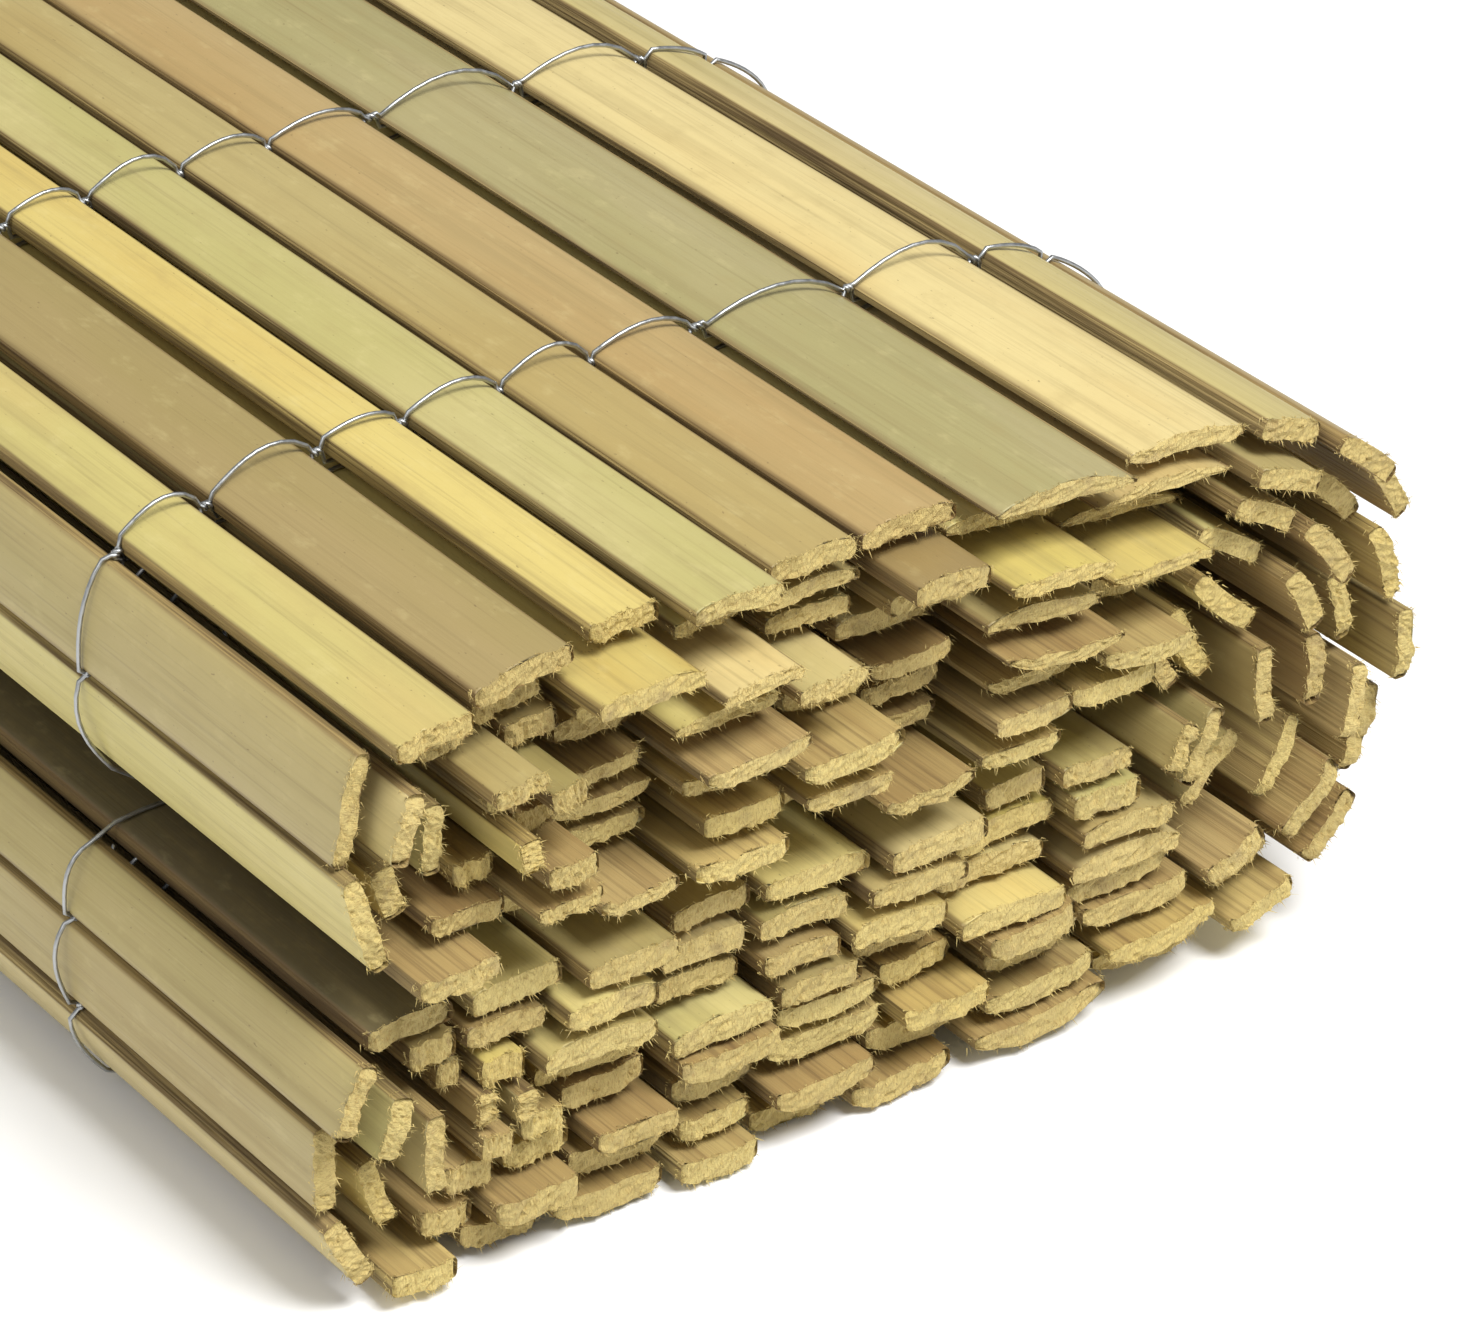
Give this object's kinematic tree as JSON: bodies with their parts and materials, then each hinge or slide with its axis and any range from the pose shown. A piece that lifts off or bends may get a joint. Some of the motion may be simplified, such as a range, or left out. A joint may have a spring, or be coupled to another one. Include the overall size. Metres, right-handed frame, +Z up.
{
  "type": "split bamboo screening",
  "caption": "Rolled split bamboo screening: flat slats bound side by side with rows of galvanised wire, wound flat and folded over once.",
  "frame": {"origin": "centre of the roll's box on the plane it lies on", "axes": "+Y along the slats, away from the pictured end; +Z up from the floor; +X across the roll, from the two lobes to the fold"},
  "size_m": [0.263, 1.02, 0.1286],
  "materials": {
    "bamboo_yellow": "satin",
    "bamboo_tan": "satin",
    "bamboo_green": "satin",
    "bamboo_grey": "matte",
    "galvanised_wire": "satin"
  },
  "bodies": {
    "root": {"binding_wire_1": "galvanised_wire", "binding_wire_2": "galvanised_wire", "binding_wire_3": "galvanised_wire", "binding_wire_4": "galvanised_wire", "binding_wire_5": "galvanised_wire", "binding_wire_6": "galvanised_wire", "binding_wire_7": "galvanised_wire", "binding_wire_8": "galvanised_wire", "fold_turn_2": "bamboo_yellow", "fold_turn_3": "bamboo_tan", "fold_turn_4": "bamboo_yellow", "fold_turn_5": "bamboo_tan", "fold_turn_6": "bamboo_green", "fold_turn_7": "bamboo_yellow", "lower_layer_1": "bamboo_tan", "lower_layer_2": "bamboo_yellow", "lower_layer_3": "bamboo_tan", "lower_layer_4": "bamboo_green", "lower_layer_5": "bamboo_yellow", "lower_layer_6": "bamboo_tan", "lower_layer_7": "bamboo_yellow", "lower_layer_8": "bamboo_tan", "lower_lobe_turn_2": "bamboo_green", "lower_lobe_turn_3": "bamboo_yellow", "lower_lobe_turn_4_1": "bamboo_grey", "lower_lobe_turn_4_2": "bamboo_green", "lower_lobe_turn_4_3": "bamboo_yellow", "outer_end_slat_1": "bamboo_yellow", "outer_end_slat_2": "bamboo_tan", "outer_end_slat_3": "bamboo_grey", "top_slat_1": "bamboo_tan", "top_slat_2": "bamboo_yellow", "top_slat_3": "bamboo_yellow", "top_slat_4": "bamboo_green", "top_slat_5": "bamboo_tan", "top_slat_6": "bamboo_green", "top_slat_7": "bamboo_tan", "top_slat_8": "bamboo_yellow", "upper_layer_1": "bamboo_yellow", "upper_layer_2": "bamboo_tan", "upper_layer_3": "bamboo_yellow", "upper_layer_4": "bamboo_tan", "upper_layer_5": "bamboo_green", "upper_layer_6": "bamboo_yellow", "upper_layer_7": "bamboo_tan", "upper_lobe_turn_2": "bamboo_yellow", "upper_lobe_turn_3": "bamboo_tan", "upper_lobe_turn_4_1": "bamboo_tan", "upper_lobe_turn_4_2": "bamboo_tan"}
  },
  "joints": []
}
